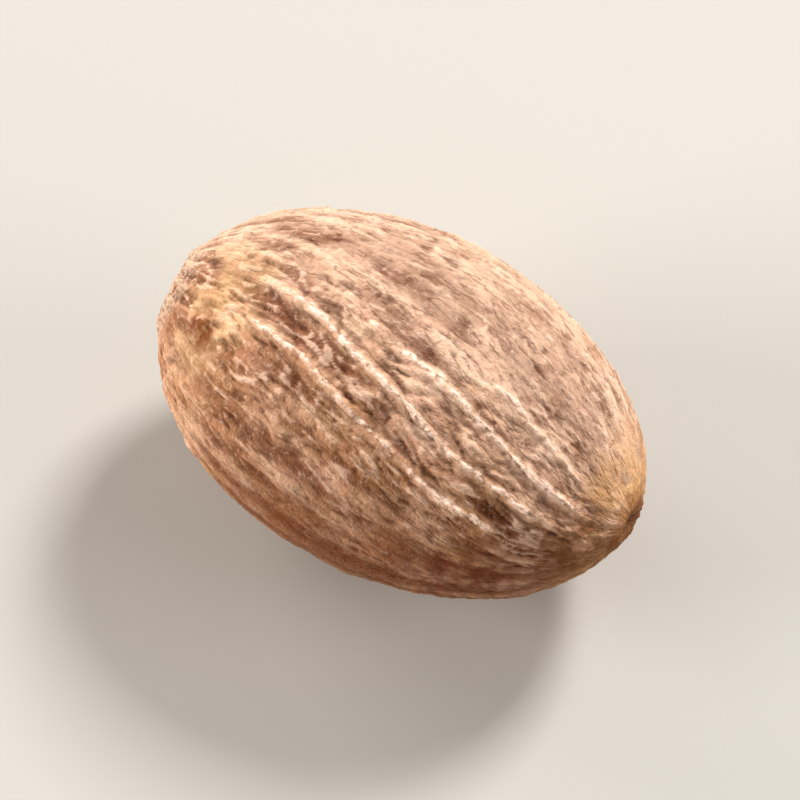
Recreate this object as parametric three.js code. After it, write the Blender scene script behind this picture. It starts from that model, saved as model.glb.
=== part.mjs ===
// Whole nutmeg: the dried kernel of the nutmeg fruit, one solid egg-shaped piece of woody flesh
// with a wandering network of raised folds. Millimetres, +Z up, long axis along X.
// The scar where the seed was attached (hilum) is at the -X end, the small pit where the
// raphe ends (chalaza) is at the +X end, and the nutmeg rests on a small flat spot at z = 0.

import * as THREE from 'three';

// ---- Overall sizes ----
const LENGTH = 28.0;             // along X, scar end to pit end
const WIDTH = 18.4;              // along Y
const HEIGHT = 18.0;             // from the resting spot to the top
const BLUNTNESS = 0.02;          // how much fuller the scar half is than the pit half
const REST_DEPTH = 0.42;         // how far the resting spot cuts into the round underside
const REST_BLEND = 1.3;          // height over which the folds fade out toward that spot

// ---- Broad unevenness of the body: height, lobes around, turn along the body, phase ----
const LUMPS = [
  { height: 0.14, lobes: 2, turn: 0.5, phase: 0.6 },
  { height: 0.10, lobes: 3, turn: 1.6, phase: 2.1 },
  { height: 0.06, lobes: 5, turn: -2.3, phase: 4.0 },
];

// ---- Folds: raised lines that wander from one end to the other ----
const FOLDS = 28;                        // lines around the body
const FOLD_STEP = (2 * Math.PI) / FOLDS; // mean angle from one fold to the next
const FIRST_FOLD = radians(124);         // angle of fold 0 at mid length, from +Y over the top
const FOLD_SCATTER = 0.34;               // random shift of a fold, in steps
const FOLD_HEIGHT = 0.06;                // least height of an ordinary fold
const FOLD_HEIGHT_SPREAD = 0.10;         // random height added to that
const FOLD_HALF_WIDTH = 0.42;            // distance at which a fold has dropped to 1/e
const LEAST_HALF_WIDTH = 0.05;           // the same where the folds crowd together at a tip
const LEAN = radians(26);                // turn of a fold over half the length, where most
const BEND = 0.50;                       // how far the turn bows towards the pit end
const LEAN_CENTRE = radians(120);        // angle around the body where the folds lean most
const LEAN_SPAN = radians(62);           // how far around the lean fades away
const SLOW_WAVE = radians(1.2);          // long wander of a fold
const QUICK_WAVE = radians(0.5);         // short wander of a fold
const BEADING = 0.3;                     // how far a fold's height rises and falls along it

// The tall folds of the front flank, by fold number: height, and where each starts and stops
// along the body (-1 scar end, +1 pit end).
const TALL_FOLDS = new Map([
  [0, { height: 0.14, from: -0.50, to: 0.66 }],
  [1, { height: 0.18, from: -0.42, to: 0.76 }],
  [2, { height: 0.16, from: -0.06, to: 0.84 }],
  [3, { height: 0.11, from: 0.46, to: 0.80 }],
]);

// ---- Scar, pit and the groove between them ----
const SCAR_OFFSET = 1.5;         // the scar sits a little to the front of the -X tip
const SCAR_ANGLE = radians(122);
const SCAR_RADIUS = 1.25;
const SCAR_DEPTH = 0.38;
const SCAR_RIM = 0.15;
const PIT_RADIUS = 0.62;
const PIT_DEPTH = 0.38;
const PIT_RIM = 0.12;
const GROOVE_FOLD = 12;          // the groove follows the valley after this fold
const GROOVE_DEPTH = 0.24;
const GROOVE_HALF_WIDTH = 0.7;

// ---- Mesh ----
const ROWS = 54;                 // steps from tip to tip
const ROW_CROWDING = 0.45;       // rows are closer together at the tips
const FULL_RADIUS = 4.6;         // four columns a fold outside this radius
const HALF_RADIUS = 1.9;         // two outside this one, one inside it

function radians(degrees) {
  return (degrees * Math.PI) / 180;
}

function modulo(value, size) {
  return ((value % size) + size) % size;
}

function wrapAngle(angle) {
  return modulo(angle + Math.PI, 2 * Math.PI) - Math.PI;
}

function bell(distance, width) {
  return Math.exp(-((distance / width) ** 2));
}

function smooth(low, high, value) {
  const t = Math.min(1, Math.max(0, (value - low) / (high - low)));
  return t * t * (3 - 2 * t);
}

// Repeatable scatter between 0 and 1.
function scatter(index, salt) {
  const mixed = Math.sin(index * 12.9898 + salt * 78.233) * 43758.5453;
  return mixed - Math.floor(mixed);
}

// ---- Body: nearly an ellipsoid, a little fuller at the scar end ----

function bodyRadius(tip) {
  return Math.sin(tip) * (1 + BLUNTNESS * Math.cos(tip));
}

// tip runs from 0 at the scar end to pi at the pit end, around is measured from +Y over +Z.
function bodyPoint(tip, around) {
  const ring = bodyRadius(tip);
  return new THREE.Vector3(
    (-LENGTH / 2) * Math.cos(tip),
    (WIDTH / 2) * ring * Math.cos(around),
    (HEIGHT / 2) * ring * Math.sin(around),
  );
}

function bodyNormal(point) {
  return new THREE.Vector3(
    point.x / (LENGTH / 2) ** 2,
    point.y / (WIDTH / 2) ** 2,
    point.z / (HEIGHT / 2) ** 2,
  ).normalize();
}

function lumpHeight(tip, around) {
  const along = -Math.cos(tip);
  let height = 0;
  for (const lump of LUMPS) {
    height += lump.height * Math.cos(lump.lobes * around + lump.turn * along + lump.phase);
  }
  return height * Math.sin(tip);
}

// ---- Folds ----

function foldAngle(fold, along) {
  const number = modulo(fold, FOLDS);
  const middle = FIRST_FOLD - (fold + FOLD_SCATTER * (scatter(number, 1) - 0.5)) * FOLD_STEP;
  const lean = LEAN * bell(wrapAngle(middle - LEAN_CENTRE), LEAN_SPAN);
  const slow = SLOW_WAVE * Math.sin(4.5 * along + 2 * Math.PI * scatter(number, 2));
  const quickTurn = 10 + 5 * scatter(number, 6);
  const quick = QUICK_WAVE * Math.sin(quickTurn * along + 2 * Math.PI * scatter(number, 3));
  return middle + lean * (along + BEND * along * along) + slow + quick;
}

function foldHeight(fold, along) {
  const number = modulo(fold, FOLDS);
  const beadTurn = 8 + 6 * scatter(number, 7);
  const beads = 1 + BEADING * Math.sin(beadTurn * along + 2 * Math.PI * scatter(number, 4));
  let height = FOLD_HEIGHT + FOLD_HEIGHT_SPREAD * scatter(number, 5);
  const tall = TALL_FOLDS.get(number);
  if (tall) {
    const begun = smooth(tall.from - 0.08, tall.from + 0.08, along);
    const ended = smooth(tall.to - 0.08, tall.to + 0.08, along);
    height += tall.height * begun * (1 - ended);
  }
  return height * beads * (1 - 0.8 * smooth(0.72, 0.97, Math.abs(along)));
}

function foldRelief(fold, tip, around) {
  const along = -Math.cos(tip);
  const reach = (WIDTH / 2) * bodyRadius(tip);
  const crowded = Math.max(LEAST_HALF_WIDTH, 0.3 * FOLD_STEP * reach);
  const halfWidth = Math.min(FOLD_HALF_WIDTH, crowded);
  let relief = 0;
  for (let near = fold - 1; near <= fold + 2; near += 1) {
    const distance = reach * wrapAngle(around - foldAngle(near, along));
    relief += foldHeight(near, along) * bell(distance, halfWidth);
  }
  return relief;
}

// ---- Scar, pit and groove ----

function scarCentre() {
  const tip = Math.asin(SCAR_OFFSET / (WIDTH / 2));
  return bodyPoint(tip, SCAR_ANGLE);
}

function scarRelief(distance) {
  const dish = -SCAR_DEPTH * bell(distance, SCAR_RADIUS);
  const rim = SCAR_RIM * bell(distance - 1.7 * SCAR_RADIUS, 0.5 * SCAR_RADIUS);
  return dish + rim;
}

function pitRelief(distance) {
  const pit = -PIT_DEPTH * bell(distance, PIT_RADIUS);
  const rim = PIT_RIM * bell(distance - 2 * PIT_RADIUS, 0.9 * PIT_RADIUS);
  return pit + rim;
}

function grooveRelief(tip, around) {
  const along = -Math.cos(tip);
  const before = foldAngle(GROOVE_FOLD, along);
  const after = foldAngle(GROOVE_FOLD + 1, along);
  const reach = (WIDTH / 2) * bodyRadius(tip);
  const distance = reach * wrapAngle(around - (before + after) / 2);
  return -GROOVE_DEPTH * bell(distance, GROOVE_HALF_WIDTH) * Math.sin(tip);
}

// ---- Surface point with every feature on it ----

const SCAR = scarCentre();
const PIT = bodyPoint(Math.PI, 0);
const REST_LEVEL = REST_DEPTH - HEIGHT / 2;

function surfacePoint(fold, tip, around) {
  const base = bodyPoint(tip, around);
  const fromScar = base.distanceTo(SCAR);
  const fromPit = base.distanceTo(PIT);
  const clear = smooth(0.8 * SCAR_RADIUS, 1.8 * SCAR_RADIUS, fromScar)
    * smooth(0.8 * PIT_RADIUS, 2 * PIT_RADIUS, fromPit);
  const lifted = smooth(0, REST_BLEND, base.z - REST_LEVEL);
  const folds = (foldRelief(fold, tip, around) + grooveRelief(tip, around)) * clear;
  const relief = (folds + lumpHeight(tip, around)) * lifted
    + scarRelief(fromScar) + pitRelief(fromPit);
  const point = base.addScaledVector(bodyNormal(base), relief);
  point.z = Math.max(point.z, REST_LEVEL);
  return point;
}

// ---- Mesh: rings of columns that follow the crests, flanks and valleys of the folds ----

function rowTip(row) {
  const even = row / ROWS;
  return Math.PI * (even - (ROW_CROWDING * Math.sin(2 * Math.PI * even)) / (2 * Math.PI));
}

function columnsPerFold(tip) {
  const radius = (WIDTH / 2) * bodyRadius(tip);
  if (radius > FULL_RADIUS) return 4;
  return radius > HALF_RADIUS ? 2 : 1;
}

// The angle of one column of a fold: 0 crest, 1 falling flank, 2 valley, 3 rising flank.
function columnAngle(fold, column, tip) {
  const along = -Math.cos(tip);
  const crest = foldAngle(fold, along);
  const next = foldAngle(fold + 1, along);
  const flank = Math.min(FOLD_HALF_WIDTH / ((WIDTH / 2) * bodyRadius(tip)), 0.35 * (crest - next));
  return [crest, crest - flank, (crest + next) / 2, next + flank][column];
}

function ringPoints(tip) {
  const columns = columnsPerFold(tip);
  const points = [];
  for (let fold = 0; fold < FOLDS; fold += 1) {
    for (let column = 0; column < columns; column += 1) {
      const around = columnAngle(fold, (column * 4) / columns, tip);
      points.push(surfacePoint(fold, tip, around));
    }
  }
  return points;
}

// Triangles between two neighbouring rings with equal counts, or one with twice the other's.
function bridgeRings(first, second, triangles) {
  const steps = Math.min(first.length, second.length);
  const perFirst = first.length / steps;
  const perSecond = second.length / steps;
  for (let step = 0; step < steps; step += 1) {
    const a0 = first[step * perFirst];
    const a1 = first[((step + 1) * perFirst) % first.length];
    const b0 = second[step * perSecond];
    const b1 = second[((step + 1) * perSecond) % second.length];
    if (perFirst === 2) {
      const middle = first[step * 2 + 1];
      triangles.push(a0, b0, middle, middle, b0, b1, middle, b1, a1);
    } else if (perSecond === 2) {
      const middle = second[step * 2 + 1];
      triangles.push(a0, b0, middle, a0, middle, a1, a1, middle, b1);
    } else {
      triangles.push(a0, b0, a1, a1, b0, b1);
    }
  }
}

function closeTip(tipVertex, ring, flip, triangles) {
  for (let step = 0; step < ring.length; step += 1) {
    const next = ring[(step + 1) % ring.length];
    if (flip) triangles.push(tipVertex, next, ring[step]);
    else triangles.push(tipVertex, ring[step], next);
  }
}

// Brings the body onto z = 0 and to its overall sizes, centred over the origin.
function settle(points) {
  const box = new THREE.Box3().setFromPoints(points);
  const size = box.getSize(new THREE.Vector3());
  const centre = box.getCenter(new THREE.Vector3());
  for (const point of points) {
    point.x = ((point.x - centre.x) * LENGTH) / size.x;
    point.y = ((point.y - centre.y) * WIDTH) / size.y;
    point.z = ((point.z - box.min.z) * HEIGHT) / size.z;
  }
}

function nutmegGeometry() {
  const points = [surfacePoint(0, 0, 0)];
  const rings = [];
  for (let row = 1; row < ROWS; row += 1) {
    const ring = ringPoints(rowTip(row));
    rings.push(ring.map((point, index) => points.length + index));
    points.push(...ring);
  }
  points.push(surfacePoint(0, Math.PI, 0));
  settle(points);

  const triangles = [];
  closeTip(0, rings[0], false, triangles);
  for (let row = 1; row < rings.length; row += 1) {
    bridgeRings(rings[row - 1], rings[row], triangles);
  }
  closeTip(points.length - 1, rings[rings.length - 1], true, triangles);

  const geometry = new THREE.BufferGeometry();
  geometry.setFromPoints(points);
  geometry.setIndex(triangles);
  geometry.computeVertexNormals();
  return geometry;
}

const kernel = new THREE.MeshStandardMaterial({ color: '#b98b69', roughness: 0.85, metalness: 0 });
const nutmeg = new THREE.Mesh(nutmegGeometry(), kernel);
nutmeg.name = 'nutmeg';

const model = new THREE.Group();
model.name = 'whole_nutmeg';
model.add(nutmeg);

export default model;
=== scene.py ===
"""A whole dried nutmeg lying on its side on a plain pale table.

The kernel is one piece. Its outline and its folds are worked out in millimetres by the same rules
that shape the solid part. Much finer wrinkles, furrows and grain are added, and then the finish.
"""
import math

import bmesh
import bpy
import numpy as np
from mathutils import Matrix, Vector, noise


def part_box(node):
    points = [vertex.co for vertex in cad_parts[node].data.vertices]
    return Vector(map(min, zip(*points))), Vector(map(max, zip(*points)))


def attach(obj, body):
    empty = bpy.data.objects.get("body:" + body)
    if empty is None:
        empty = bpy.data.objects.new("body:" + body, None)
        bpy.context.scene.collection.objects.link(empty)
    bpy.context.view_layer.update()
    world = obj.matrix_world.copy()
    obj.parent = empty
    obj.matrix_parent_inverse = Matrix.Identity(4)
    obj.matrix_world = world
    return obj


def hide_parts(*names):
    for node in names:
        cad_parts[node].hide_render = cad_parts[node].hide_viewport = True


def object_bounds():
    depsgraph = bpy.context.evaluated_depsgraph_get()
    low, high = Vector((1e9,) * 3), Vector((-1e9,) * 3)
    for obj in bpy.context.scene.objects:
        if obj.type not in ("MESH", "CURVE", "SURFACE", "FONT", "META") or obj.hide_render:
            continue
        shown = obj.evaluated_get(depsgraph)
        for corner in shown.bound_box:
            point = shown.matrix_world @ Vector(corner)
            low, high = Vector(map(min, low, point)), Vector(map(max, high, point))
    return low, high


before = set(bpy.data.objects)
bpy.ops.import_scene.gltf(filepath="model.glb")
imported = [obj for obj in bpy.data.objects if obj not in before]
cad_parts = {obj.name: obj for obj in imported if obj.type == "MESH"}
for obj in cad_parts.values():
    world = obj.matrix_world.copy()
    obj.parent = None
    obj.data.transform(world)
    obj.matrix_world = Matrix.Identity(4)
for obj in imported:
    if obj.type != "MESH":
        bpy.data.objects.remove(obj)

cad_low, cad_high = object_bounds()


# ---- The kernel's body ----
# A nutmeg is the seed kernel of the nutmeg fruit, freed of its mace and thin shell. It dries
# into one hard, even egg. Here it starts as a finely divided block rounded into that egg.
MM = 0.001
BLUNTNESS = 0.02                # how much fuller the scar half is than the other
SKIN_CUTS = 127                 # divides each side of the block, for quads of about 0.13 mm
LEAST_REACH = 0.05              # keeps the rings at the tips from shrinking to nothing

body_low, body_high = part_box("nutmeg")
half_length = (body_high.x - body_low.x) / 2 / MM
half_width = (body_high.y - body_low.y) / 2 / MM
half_height = (body_high.z - body_low.z) / 2 / MM

nutmeg_mesh = bpy.data.meshes.new("nutmeg_kernel")
skin = bmesh.new()
bmesh.ops.create_cube(skin, size=2.0)
bmesh.ops.subdivide_edges(skin, edges=skin.edges[:], cuts=SKIN_CUTS, use_grid_fill=True)
skin.to_mesh(nutmeg_mesh)
skin.free()

block = np.empty(len(nutmeg_mesh.vertices) * 3)
nutmeg_mesh.vertices.foreach_get("co", block)
rounded = np.tan(block.reshape(-1, 3) * math.pi / 4)
rounded /= np.linalg.norm(rounded, axis=1)[:, None]

along = rounded[:, 0]                               # -1 at the scar tip, +1 at the pit tip
around = np.arctan2(rounded[:, 2], rounded[:, 1])   # from +Y over the top
slender = np.sqrt(np.maximum(0, 1 - along**2))      # 0 at both tips, 1 at mid length
girth = slender * (1 - BLUNTNESS * along)
reach = np.maximum(half_width * girth, LEAST_REACH)     # radius of the ring a point is on


def egg(along_at, around_at, girth_at):
    """Points on the smooth egg, in millimetres from its middle."""
    across = half_width * girth_at * np.cos(around_at)
    up = half_height * girth_at * np.sin(around_at)
    return np.stack(np.broadcast_arrays(half_length * along_at, across, up), axis=-1)


body = egg(along, around, girth)
outward = body / np.array([half_length, half_width, half_height]) ** 2
outward /= np.linalg.norm(outward, axis=1)[:, None]


# ---- Broad unevenness ----
# Drying leaves the egg slightly lobed: a few low, wide swellings turn slowly along it.
# Each one is its height, the lobes it makes around the body, its turn along it and its phase.
LUMPS = [(0.14, 2, 0.5, 0.6), (0.10, 3, 1.6, 2.1), (0.06, 5, -2.3, 4.0)]

lumps = np.zeros(len(body))
for lump_height, lobes, turn, phase in LUMPS:
    lumps += lump_height * np.cos(lobes * around + turn * along + phase)
lumps *= slender


# ---- Folds ----
# The outer coat shrinks onto the kernel in raised lines that wander from end to end. Four on
# the front flank stand tall and run slantwise; the others are low and come and go. Each fold is
# a soft swelling with a knobbly line on top, painted pale partly as rubbed skin and partly as a
# highlight, and a line of painted shade runs along a tall one's foot.
FOLDS = 28
FOLD_STEP = 2 * math.pi / FOLDS
FIRST_FOLD = math.radians(124)
FOLD_SCATTER = 0.34
FOLD_HEIGHT = 0.06
FOLD_HEIGHT_SPREAD = 0.10
LEAN = math.radians(26)
BEND = 0.50
LEAN_CENTRE = math.radians(120)
LEAN_SPAN = math.radians(62)
SLOW_WAVE = math.radians(1.2)
SLOW_TURN = 4.5                  # how quickly each wave turns along the body
QUICK_WAVE = math.radians(0.5)
QUICK_TURN, QUICK_TURN_SPREAD = 10, 5
BEADING = 0.3
BEAD_TURN, BEAD_TURN_SPREAD = 8, 6
FADE_START, FADE_END = 0.72, 0.97    # where the folds die down toward the tips
FADE_LOSS = 0.8                  # the share of their height that is lost there
CROWDING = 0.3                   # greatest half width of a fold, in steps to the next one
TALL_END = 0.08                  # half the stretch over which a tall fold starts or stops
TALL_FOLDS = {                   # by number: height, start and stop along the body
    0: (0.14, -0.50, 0.66),
    1: (0.18, -0.42, 0.76),
    2: (0.16, -0.06, 0.84),
    3: (0.11, 0.46, 0.80),
}

SWELL_HALF_WIDTH = 0.60          # the swelling that carries a fold
LOW_SWELL, TALL_SWELL = 0.75, 0.5    # its share of a low fold's height, and of a tall one's
LINE_HALF_WIDTH = 0.15           # the sharp line on top
LOW_LINE, TALL_LINE = 0.3, 0.7   # its share of the same heights
LINE_KNOBS = 0.45                # how much of the line's height comes and goes in knobs
PALE_HEIGHT = 0.17               # a line this high is fully pale, partly rubbed skin and partly a painted highlight
LOW_PALENESS = 0.32              # how far a low fold's height counts toward that
FOOT_DISTANCE = 0.50             # from the crest to the line of painted shade at the fold's foot
FOOT_HALF_WIDTH = 0.22
FOOT_HEIGHT = 0.15               # a fold this high has a full line of painted shade
LOW_FOOT = 0.2                   # how far a low fold's height counts toward that
BESIDE_HALF_WIDTH = 0.55         # the smoother skin on both sides of a tall fold

# Soft noises, each with its strength, size and seed: how a crest strays, and where it is knobbly.
WOBBLES = [(0.10, 2.4, 3.0), (0.15, 0.8, 9.0), (0.12, 0.35, 15.0)]
KNOBS = [(1.3, 0.6, 21.0), (0.8, 0.28, 27.0), (0.9, 1.9, 33.0)]
MEAN_KNOB, LEAST_KNOB, MOST_KNOB = 1.05, 0.15, 1.9


def wrap_angle(angle):
    return (angle + math.pi) % (2 * math.pi) - math.pi


def bell(distance, width):
    return np.exp(-((distance / width) ** 2))


def smooth(low, high, value):
    t = np.clip((value - low) / (high - low), 0, 1)
    return t * t * (3 - 2 * t)


def scatter(index, salt):
    """A repeatable random number between 0 and 1."""
    mixed = math.sin(index * 12.9898 + salt * 78.233) * 43758.5453
    return mixed - math.floor(mixed)


def drift(points, size, seed):
    """Soft noise from -1 to 1 whose features are about size across."""
    shifted = points / np.array(size) + seed
    return np.array([noise.noise(point) for point in shifted.tolist()])


def drifts(points, noises):
    """Several soft noises added up."""
    return sum(amount * drift(points, size, seed) for amount, size, seed in noises)


def lean_at(middle):
    return LEAN * bell(wrap_angle(middle - LEAN_CENTRE), LEAN_SPAN)


def fold_angle(fold, along_at):
    number = fold % FOLDS
    middle = FIRST_FOLD - (fold + FOLD_SCATTER * (scatter(number, 1) - 0.5)) * FOLD_STEP
    slow = SLOW_WAVE * np.sin(SLOW_TURN * along_at + 2 * math.pi * scatter(number, 2))
    quick_turn = QUICK_TURN + QUICK_TURN_SPREAD * scatter(number, 6)
    quick = QUICK_WAVE * np.sin(quick_turn * along_at + 2 * math.pi * scatter(number, 3))
    return middle + lean_at(middle) * (along_at + BEND * along_at**2) + slow + quick


def low_part(fold, along_at):
    """Height that every fold has, rising and falling along it and low toward the tips."""
    bead_turn = BEAD_TURN + BEAD_TURN_SPREAD * scatter(fold, 7)
    beads = 1 + BEADING * np.sin(bead_turn * along_at + 2 * math.pi * scatter(fold, 4))
    height = FOLD_HEIGHT + FOLD_HEIGHT_SPREAD * scatter(fold, 5)
    return height * beads * (1 - FADE_LOSS * smooth(FADE_START, FADE_END, np.abs(along_at)))


def tall_part(fold, along_at):
    """Height that a tall fold adds between its two ends."""
    tall, start, stop = TALL_FOLDS.get(fold, (0.0, 0.0, 0.0))
    begun = smooth(start - TALL_END, start + TALL_END, along_at)
    ended = smooth(stop - TALL_END, stop + TALL_END, along_at)
    return tall * begun * (1 - ended)


wobble = drifts(body, WOBBLES)
knobs = np.clip(MEAN_KNOB + drifts(body, KNOBS), LEAST_KNOB, MOST_KNOB)
crowded = CROWDING * FOLD_STEP * reach
folds = np.zeros(len(body))
rubbed_crest_highlight = np.zeros(len(body))
painted_foot_shade = np.zeros(len(body))
beside_tall = np.zeros(len(body))
for fold in range(FOLDS):
    distance = reach * wrap_angle(around - fold_angle(fold, along)) + wobble
    low, tall = low_part(fold, along), tall_part(fold, along)
    swell = bell(distance, np.minimum(SWELL_HALF_WIDTH, crowded))
    line = bell(distance, np.minimum(LINE_HALF_WIDTH, crowded))
    folds += (LOW_SWELL * low + TALL_SWELL * tall) * swell
    folds += (LOW_LINE * low + TALL_LINE * tall) * line * (1 - LINE_KNOBS + LINE_KNOBS * knobs)
    # The crest lines are painted pale, partly as rubbed skin and partly as a painted highlight.
    rubbed_crest_highlight = np.maximum(rubbed_crest_highlight, (tall + LOW_PALENESS * low) / PALE_HEIGHT * line * knobs)
    # Along each tall fold's foot runs a band of painted shade, where the fold's shadow falls.
    tallness = np.minimum((tall + LOW_FOOT * low) / FOOT_HEIGHT, 1)
    from_foot = np.abs(distance) - FOOT_DISTANCE
    painted_foot_shade = np.maximum(painted_foot_shade, tallness * bell(from_foot, FOOT_HALF_WIDTH))
    beside_tall = np.maximum(beside_tall, tallness * bell(distance, BESIDE_HALF_WIDTH))


# ---- Wrinkles and grain ----
# Between the folds the skin is drawn into short wandering wrinkles, furrows and pebbles. They
# follow the folds on the flanks and lie every way at the tips, over a fine leathery grain.
# A size with three numbers is the length along the folds and the two widths across them.
HOLLOW, HOLLOW_HEIGHT = (4.2, 1.6, 1.6), 0.21
LONG_WRINKLE, LONG_HEIGHT, LONG_SHARPNESS = (3.4, 0.95, 0.95), 0.08, 0.12
SHORT_WRINKLE, SHORT_HEIGHT, SHORT_SHARPNESS = (1.5, 0.52, 0.52), 0.085, 0.16
CROSS_WRINKLE, CROSS_HEIGHT, CROSS_SHARPNESS = 0.75, 0.05, 0.18
FURROW, FURROW_DEPTH, FURROW_SHARPNESS = (1.7, 0.55, 0.55), 0.075, 0.13
PEBBLE, PEBBLE_HEIGHT = (1.8, 0.75, 0.75), 0.09
GRAIN, FINE_GRAIN, GRAIN_HEIGHT = (0.80, 0.34, 0.34), 0.26, 0.10
SWAY, SWAY_SIZE = 0.5, 2.2       # how far the wrinkles wander, and over what length
PATCH_SIZE = 4.0                 # the skin is more rugged in some patches than in others
LEAST_RUGGED, MOST_RUGGED = 0.25, 1.3
MEAN_RUGGED, FRONT_RUGGED, PATCH_RUGGED = 0.5, 0.6, 0.35
BESIDE_TALL_LOSS, LOW_FRONT_LOSS = 0.7, 0.4     # the share of it lost where the skin is smoother
FRONT_FLANK, LOW_FRONT = (110, 27), (205, 40)   # the middle and half width of each, in degrees
EVEN_HOLLOWS, EVEN_FURROWS, EVEN_GRAIN = 0.4, 0.3, 0.4   # the share of a height found all over
EVEN_CROSS, PATCHY_CROSS = 0.6, 0.5
UNLEAN_ROUNDS = 4


def facing(angle, centre, span):
    """1 where an angle in radians meets the centre, fading over the span, both in degrees."""
    return bell(wrap_angle(angle - math.radians(centre)), math.radians(span))


# The angle each point would have if the folds ran straight. The lean depends on that angle, so a
# few rounds bring it close. The strand then unrolls the skin: its first axis runs along the folds.
unleaned = around.copy()
for _ in range(UNLEAN_ROUNDS):
    unleaned = around - lean_at(unleaned) * (along + BEND * along**2)
tip_angle = np.arccos(np.clip(-along, -1, 1))
strand = np.stack(
    [
        tip_angle * (half_length + half_width) / 2,
        half_width * np.cos(unleaned),
        half_width * np.sin(unleaned),
    ],
    axis=-1,
)
sway = np.stack([drift(body, SWAY_SIZE, seed) for seed in (31.0, 47.0, 59.0)], axis=-1)
swayed = strand + SWAY * sway
toward_tip = smooth(0.80, 0.97, np.abs(along))


def lines(points, size, sharpness, seed, fade):
    """Narrow lines where a soft noise crosses zero, which fade by that much at the tips."""
    return bell(drift(points, size, seed), sharpness) * (1 - fade * toward_tip)


long_wrinkles = lines(swayed, LONG_WRINKLE, LONG_SHARPNESS, seed=5.0, fade=1)
short_wrinkles = lines(swayed, SHORT_WRINKLE, SHORT_SHARPNESS, seed=7.0, fade=0.7)
cross_wrinkles = lines(body, CROSS_WRINKLE, CROSS_SHARPNESS, seed=11.0, fade=0)
furrows = lines(swayed, FURROW, FURROW_SHARPNESS, seed=103.0, fade=0.6)
pebbles = drift(swayed, PEBBLE, 61.0)
leather = drift(swayed, GRAIN, 91.0) + 0.5 * drift(body, FINE_GRAIN, 97.0)
hollows = drift(swayed, HOLLOW, 83.0)

# The front flank is the most rugged. Beside the tall folds and low on the front it is smoother.
front_flank = facing(unleaned, *FRONT_FLANK)
low_front = facing(around, *LOW_FRONT)
patchy = drift(body, PATCH_SIZE, 71.0)
ruggedness = MEAN_RUGGED + FRONT_RUGGED * front_flank + PATCH_RUGGED * patchy
ruggedness = np.clip(ruggedness, LEAST_RUGGED, MOST_RUGGED)
ruggedness *= (1 - BESIDE_TALL_LOSS * beside_tall) * (1 - LOW_FRONT_LOSS * low_front)

wrinkles = LONG_HEIGHT * ruggedness * long_wrinkles
wrinkles += SHORT_HEIGHT * ruggedness * short_wrinkles
wrinkles += CROSS_HEIGHT * (EVEN_CROSS + PATCHY_CROSS * patchy) * cross_wrinkles
wrinkles += PEBBLE_HEIGHT * ruggedness * pebbles
wrinkles -= FURROW_DEPTH * (EVEN_FURROWS + (1 - EVEN_FURROWS) * ruggedness) * furrows
wrinkles += GRAIN_HEIGHT * (EVEN_GRAIN + (1 - EVEN_GRAIN) * ruggedness) * leather
swells = folds + HOLLOW_HEIGHT * (EVEN_HOLLOWS + (1 - EVEN_HOLLOWS) * front_flank) * hollows


# ---- Scar, end pit and groove ----
# The scar is the round dished spot where the seed hung in the fruit. A groove left by the seed
# stalk runs from it along the back to the small pit at the other tip.
SCAR_OFFSET = 1.5
SCAR_ANGLE = math.radians(122)
SCAR_RADIUS = 1.25
SCAR_DEPTH = 0.38
SCAR_RIM = 0.15
PIT_RADIUS = 0.62
PIT_DEPTH = 0.38
PIT_RIM = 0.12
GROOVE_FOLD = 12                 # the groove follows the valley after this fold
GROOVE_DEPTH = 0.24
GROOVE_HALF_WIDTH = 0.7
RELIEF_IN_SPOTS = 0.25           # how much of the skin's relief is left in the scar and the pit

scar_girth = SCAR_OFFSET / half_width
scar_at = egg(-math.sqrt(1 - scar_girth**2), SCAR_ANGLE, scar_girth)
pit_at = egg(1.0, 0.0, 0.0)
from_scar = np.linalg.norm(body - scar_at, axis=1)
from_pit = np.linalg.norm(body - pit_at, axis=1)
scar = -SCAR_DEPTH * bell(from_scar, SCAR_RADIUS)
scar += SCAR_RIM * bell(from_scar - 1.7 * SCAR_RADIUS, 0.5 * SCAR_RADIUS)
pit = -PIT_DEPTH * bell(from_pit, PIT_RADIUS)
pit += PIT_RIM * bell(from_pit - 2 * PIT_RADIUS, 0.9 * PIT_RADIUS)

groove_angle = (fold_angle(GROOVE_FOLD, along) + fold_angle(GROOVE_FOLD + 1, along)) / 2
groove_distance = reach * wrap_angle(around - groove_angle)
groove = GROOVE_DEPTH * bell(groove_distance, GROOVE_HALF_WIDTH) * slender

clear = smooth(0.5 * SCAR_RADIUS, 1.8 * SCAR_RADIUS, from_scar)
clear *= smooth(0.5 * PIT_RADIUS, 2 * PIT_RADIUS, from_pit)


# ---- Finished form ----
# All the relief is raised on the egg. It fades out toward the small flat spot that the kernel
# rests on, and the whole is brought to its real size.
REST_DEPTH = 0.42
REST_BLEND = 1.3

rest_level = REST_DEPTH - half_height
lifted = smooth(0, REST_BLEND, body[:, 2] - rest_level)
relief = (swells + wrinkles - groove) * (RELIEF_IN_SPOTS + (1 - RELIEF_IN_SPOTS) * clear)
surface = (relief + lumps) * lifted + scar + pit
form = body + outward * surface[:, None]
form[:, 2] = np.maximum(form[:, 2], rest_level)
form_low, form_high = form.min(axis=0), form.max(axis=0)
target_low, target_high = np.array(body_low), np.array(body_high)
stretch = (target_high - target_low) / (form_high - form_low)
placed = (form - (form_low + form_high) / 2) * stretch + (target_low + target_high) / 2
nutmeg_mesh.vertices.foreach_set("co", placed.ravel())
nutmeg_mesh.update()
nutmeg_mesh.shade_smooth()

nutmeg = bpy.data.objects.new("nutmeg_kernel", nutmeg_mesh)
bpy.context.scene.collection.objects.link(nutmeg)


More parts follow.
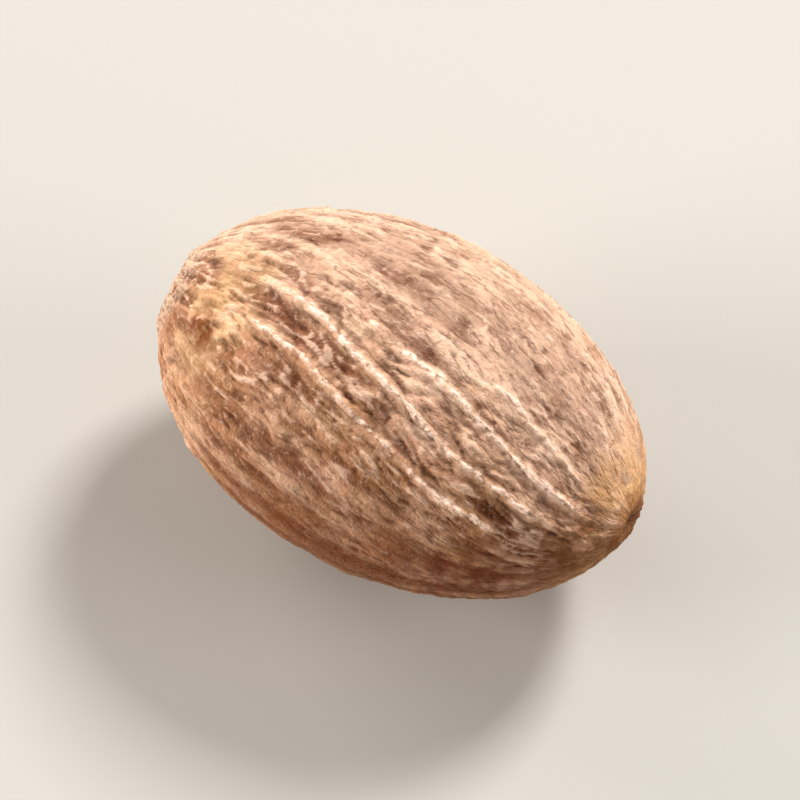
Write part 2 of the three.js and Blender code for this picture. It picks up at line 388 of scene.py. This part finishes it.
# ---- Where the finish changes ----
# The finish follows the form: each value below is worked out for every point of the skin and
# stored on the mesh under its name, for the material to read.
MARKS = {                        # darker marks, the shade one being painted shade below the pit tip: place along, angle in degrees, length over width
    "stain": (0.58, 177, 1.8),
    "amber": (-0.69, 128, 0.8),
    "shade": (0.92, 154, 0.9),
}
YELLOW_DISTANCE = 6.9            # from the scar to the middle of the yellow band
YELLOW_HALF_WIDTH = 2.1
YELLOW_FRAY, FRAY_SIZE = 2.4, 1.6    # how far the band's edge strays, and over what length
YELLOW_SIDE, YELLOW_ELSEWHERE = (120, 34), 0.15     # where it is strong, and its strength elsewhere
# The upper side, toward the lamp, is painted paler as painted light; the lower flank is painted
# darker as painted shade.
PAINTED_LIGHT_TOP, LOW_FLANK = (62, 52), (188, 38)      # the middle and half width of each, in degrees
LOW_FLANK_START, LOW_FLANK_FULL = -0.95, -0.05  # places along the body

shades = {
    "rubbed_crest_highlight": np.clip(rubbed_crest_highlight, 0, 1) * clear,
    "painted_foot_shade": painted_foot_shade * clear,
    "swells": swells,
    "wrinkles": wrinkles,
    "scar": from_scar,
    "pit": from_pit,
    # painted shade on the lower flank, away from the lamp
    "painted_low_shade": facing(around, *LOW_FLANK) * smooth(LOW_FLANK_START, LOW_FLANK_FULL, along),
    # painted light on the upper side, toward the lamp
    "painted_top_light": facing(unleaned, *PAINTED_LIGHT_TOP),
}
frayed = from_scar + YELLOW_FRAY * drift(body, FRAY_SIZE, 113.0)
in_front = YELLOW_ELSEWHERE + (1 - YELLOW_ELSEWHERE) * facing(around, *YELLOW_SIDE)
shades["yellow"] = in_front * bell(frayed - YELLOW_DISTANCE, YELLOW_HALF_WIDTH)
for mark, (mark_along, mark_angle, longer) in MARKS.items():
    mark_at = egg(mark_along, math.radians(mark_angle), math.sqrt(1 - mark_along**2))
    shades[mark] = np.linalg.norm((body - mark_at) / np.array([longer, 1, 1]), axis=1)

for name, values in shades.items():
    stored = nutmeg_mesh.attributes.new(name, "FLOAT", "POINT")
    stored.data.foreach_set("value", values)
stored = nutmeg_mesh.attributes.new("strand", "FLOAT_VECTOR", "POINT")
stored.data.foreach_set("vector", (strand * MM).ravel())


# ---- The skin's finish ----
# Dried nutmeg skin is a thin, hard seed coat, dulled by lime or starch dust and by handling: matt
# tan, pale on the raised lines partly from rubbing and partly as a painted highlight, pinkish
# brown and darker in the hollows and furrows partly from its own colour and partly as painted
# shade, darker in the creases, with painted shade at the folds' feet, on the lower flank and below
# the pit tip, painted light on the upper side, yellow near the scar and ochre round the pit.
SKIN_TAN = "#b8865f"

# Patterns of the coat: name, size in millimetres, and whether it is drawn out along the folds.
# Real grit is finer than the last of them, which is as fine as still shows.
PATTERNS = [
    ("cloud", 3.0, False),
    ("blush", 2.0, False),
    ("mottle", 1.3, False),
    ("spot", 0.9, False),
    ("streak", 1.2, True),
    ("dash", 0.40, True),
    ("crease", 0.85, True),
    ("speck", 0.26, False),
    ("grit", 0.16, False),
]
DRAWN_OUT = (0.35, 1, 1)         # squeezes the first axis, so that a pattern is three times longer

# Colours laid over each other in turn: colour, what it follows, where it starts, where it is
# full, how strong it is there, and a pattern that breaks it up.
LAYERS = [
    ("#d6a989", "cloud", 0.36, 0.64, 1.0, None),
    # painted light: the upper side paler, toward the lamp
    ("#ebd0bc", "painted_top_light", 0.15, 1.0, 0.4, None),
    ("#9f8763", "mottle", 0.52, 0.66, 0.35, None),
    ("#c98b72", "blush", 0.50, 0.64, 0.3, None),
    ("#94552f", "streak", 0.45, 0.68, 0.35, None),
    # darker in the hollows: partly the coat's browner colour, partly painted shade
    ("#67310f", "swells", 0.11, -0.07, 0.85, None),
    ("#e9c5ab", "swells", 0.11, 0.26, 0.45, None),
    # darker in the furrows: partly the coat's colour, partly painted shade
    ("#4f240c", "wrinkles", 0.03, -0.08, 0.8, None),
    ("#efcab1", "wrinkles", 0.045, 0.13, 0.55, None),
    # more painted light on the upper side
    ("#ecc6ab", "painted_top_light", 0.2, 1.0, 0.35, "blush"),
    ("#5a2c12", "crease", 0.045, 0.0, 0.5, "spot"),
    # painted shade along the tall folds' feet
    ("#562810", "painted_foot_shade", 0.15, 0.95, 0.6, "mottle"),
    # pale crest lines: partly rubbed skin, partly a painted highlight
    ("#fbdcca", "rubbed_crest_highlight", 0.25, 0.85, 0.9, "speck"),
    ("#653416", "speck", 0.44, 0.30, 0.32, None),
    ("#f0d0ba", "speck", 0.56, 0.74, 0.3, None),
    # painted shade on the lower flank, in two layers
    ("#6f3612", "painted_low_shade", 0.15, 1.0, 0.5, None),
    ("#5c2b0e", "painted_low_shade", 0.15, 0.9, 0.4, "streak"),
    ("#642a0b", "stain", 3.4, 0.8, 0.75, "spot"),
    ("#e2b787", "yellow", 0.1, 1.0, 0.58, None),
    ("#743a10", "amber", 2.0, 0.6, 0.95, "spot"),
    ("#d8bea6", "scar", 4.0, 2.6, 0.6, "speck"),
    ("#54321d", "scar", 0.55, 0.25, 0.8, None),
    ("#e6b27c", "pit", 6.5, 2.2, 0.75, "mottle"),
    ("#8a5226", "pit", 2.7, 1.2, 0.75, None),
    # painted shade on the low side of the pit tip
    ("#6a3a1a", "shade", 3.6, 1.2, 0.85, "mottle"),
]
BREAK_FROM, BREAK_TO = 0.36, 0.58    # a layer is absent below the first value of its pattern
CREASE_WIDTH = 0.07              # in the pattern's own values
CREASE_BUMP = 0.5                # how deep a crease is beside the grit
BUMP_DEPTH = 0.10 * MM
DULL, DULLEST = 0.62, 0.82       # roughness of the more and the less handled spots


def linear(colour):
    """sRGB hex to the linear colour the shader wants."""
    parts = [int(colour[i : i + 2], 16) / 255 for i in (1, 3, 5)]
    return [p / 12.92 if p <= 0.04045 else ((p + 0.055) / 1.055) ** 2.4 for p in parts] + [1.0]


def add(tree, kind, settings=None, inputs=None):
    """Adds a node with its settings, and the values, hex colours or sockets its inputs take."""
    node = tree.nodes.new(kind)
    for name, value in (settings or {}).items():
        setattr(node, name, value)
    for name, value in (inputs or {}).items():
        if isinstance(value, bpy.types.NodeSocket):
            tree.links.new(value, node.inputs[name])
        else:
            plain = linear(value) if isinstance(value, str) else value
            node.inputs[name].default_value = plain
    return node


seed_coat = bpy.data.materials.new("dried_seed_coat")
seed_coat.use_nodes = True
tree = seed_coat.node_tree
tree.nodes.clear()

masks = {}
for name in shades:
    masks[name] = add(tree, "ShaderNodeAttribute", {"attribute_name": name}).outputs["Fac"]

place = add(tree, "ShaderNodeTexCoord").outputs["Object"]
strand_node = add(tree, "ShaderNodeAttribute", {"attribute_name": "strand"})
squeeze = {0: strand_node.outputs["Vector"], 1: DRAWN_OUT}
drawn_out = add(tree, "ShaderNodeVectorMath", {"operation": "MULTIPLY"}, squeeze).outputs[0]
for name, size, along_folds in PATTERNS:
    where = drawn_out if along_folds else place
    noise_inputs = {"Vector": where, "Scale": 1 / (size * MM), "Detail": 3.0}
    masks[name] = add(tree, "ShaderNodeTexNoise", None, noise_inputs).outputs["Fac"]

# Creases run where that pattern crosses its middle value, so the mask is the distance from it.
from_middle = {0: masks["crease"], 1: 0.5}
offset = add(tree, "ShaderNodeMath", {"operation": "SUBTRACT"}, from_middle).outputs[0]
masks["crease"] = add(tree, "ShaderNodeMath", {"operation": "ABSOLUTE"}, {0: offset}).outputs[0]

skin_colour = SKIN_TAN
for colour, follows, start, full, opacity, broken_by in LAYERS:
    if broken_by:
        breaks = {"Value": masks[broken_by], "From Min": BREAK_FROM, "From Max": BREAK_TO}
        breaks["To Max"] = opacity
        opacity = add(tree, "ShaderNodeMapRange", None, breaks).outputs[0]
    span = {"Value": masks[follows], "From Min": start, "From Max": full, "To Max": opacity}
    amount = add(tree, "ShaderNodeMapRange", {"interpolation_type": "SMOOTHSTEP"}, span).outputs[0]
    mixed = {0: amount, 6: skin_colour, 7: colour}
    skin_colour = add(tree, "ShaderNodeMix", {"data_type": "RGBA"}, mixed).outputs[2]

sunken = {"Value": masks["crease"], "From Max": CREASE_WIDTH, "To Max": CREASE_BUMP}
height = add(tree, "ShaderNodeMapRange", None, sunken).outputs[0]
for name in ("grit", "dash"):
    both = {0: height, 1: masks[name]}
    height = add(tree, "ShaderNodeMath", {"operation": "ADD"}, both).outputs[0]
gritty = {"Strength": 1.0, "Distance": BUMP_DEPTH, "Height": height}
worn = {"Value": masks["spot"], "From Min": 0.3, "From Max": 0.7, "To Min": DULL, "To Max": DULLEST}
coat = add(
    tree,
    "ShaderNodeBsdfPrincipled",
    None,
    {
        "Base Color": skin_colour,
        "Roughness": add(tree, "ShaderNodeMapRange", None, worn).outputs[0],
        "IOR": 1.47,
        "Specular IOR Level": 0.16,
        "Normal": add(tree, "ShaderNodeBump", None, gritty).outputs[0],
    },
)
add(tree, "ShaderNodeOutputMaterial", None, {"Surface": coat.outputs[0]})
nutmeg_mesh.materials.append(seed_coat)

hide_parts("nutmeg")
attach(nutmeg, "root")


# ---- Table ----
# A plain matt board, wide enough to fill every view. It carries the nutmeg and is no part of it.
TABLE_SIZE = 3.0
TABLE_GREY = "#b5b1ab"

table_mesh = bpy.data.meshes.new("table")
top = bmesh.new()
bmesh.ops.create_grid(top, x_segments=1, y_segments=1, size=TABLE_SIZE / 2)
top.to_mesh(table_mesh)
top.free()
table = bpy.data.objects.new("table", table_mesh)
bpy.context.scene.collection.objects.link(table)
board = bpy.data.materials.new("matt_board")
board.use_nodes = True
board_finish = board.node_tree.nodes["Principled BSDF"]
board_finish.inputs["Base Color"].default_value = linear(TABLE_GREY)
board_finish.inputs["Roughness"].default_value = 0.9
table_mesh.materials.append(board)


# ---- Light and camera ----
# A soft lamp stands high behind, low fills light the left and both ends, and the room is pale.
# The camera looks down on the front flank through a long lens.
ROOM_TINT = "#f4efe9"
ROOM_LIGHT = 0.275
LAMPS = [                        # azimuth and elevation in degrees, distance, size, watts, tint
    ("window", 172, 46, 0.7, 0.18, 5.8, "#fffefc"),
    ("left_fill", -52, 18, 0.9, 0.5, 9.6, "#fffaf4"),
    ("scar_end_fill", -105, 18, 0.9, 0.5, 5.6, "#fffaf4"),
    ("pit_end_fill", 108, 24, 0.9, 0.5, 4.3, "#fffaf4"),
]
CAMERA_AZIMUTH = 31.3
CAMERA_ELEVATION = 60
CAMERA_DISTANCE = 0.29
CAMERA_LENS = 250
CAMERA_NEAR = 0.01

room = bpy.data.worlds.new("room")
room.use_nodes = True
room.node_tree.nodes["Background"].inputs["Color"].default_value = linear(ROOM_TINT)
room.node_tree.nodes["Background"].inputs["Strength"].default_value = ROOM_LIGHT
bpy.context.scene.world = room


def aim(name, data, azimuth, elevation, distance):
    """Puts a lamp or camera at that azimuth and elevation in degrees, facing the nutmeg."""
    turn, rise = math.radians(azimuth), math.radians(elevation)
    level = math.cos(rise)
    back = Vector((math.sin(turn) * level, -math.cos(turn) * level, math.sin(rise)))
    holder = bpy.data.objects.new(name, data)
    holder.location = (cad_low + cad_high) / 2 + back * distance
    holder.rotation_mode = "QUATERNION"
    holder.rotation_quaternion = back.to_track_quat("Z", "Y")
    bpy.context.scene.collection.objects.link(holder)
    return holder


for name, azimuth, elevation, distance, size, power, tint in LAMPS:
    light = bpy.data.lights.new(name, "AREA")
    light.size = size
    light.energy = power
    light.color = linear(tint)[:3]
    aim(name, light, azimuth, elevation, distance)

long_lens = bpy.data.cameras.new("camera")
long_lens.lens = CAMERA_LENS
long_lens.clip_start = CAMERA_NEAR
camera = aim("camera", long_lens, CAMERA_AZIMUTH, CAMERA_ELEVATION, CAMERA_DISTANCE)
bpy.context.scene.camera = camera
bpy.context.scene.view_settings.view_transform = "Standard"
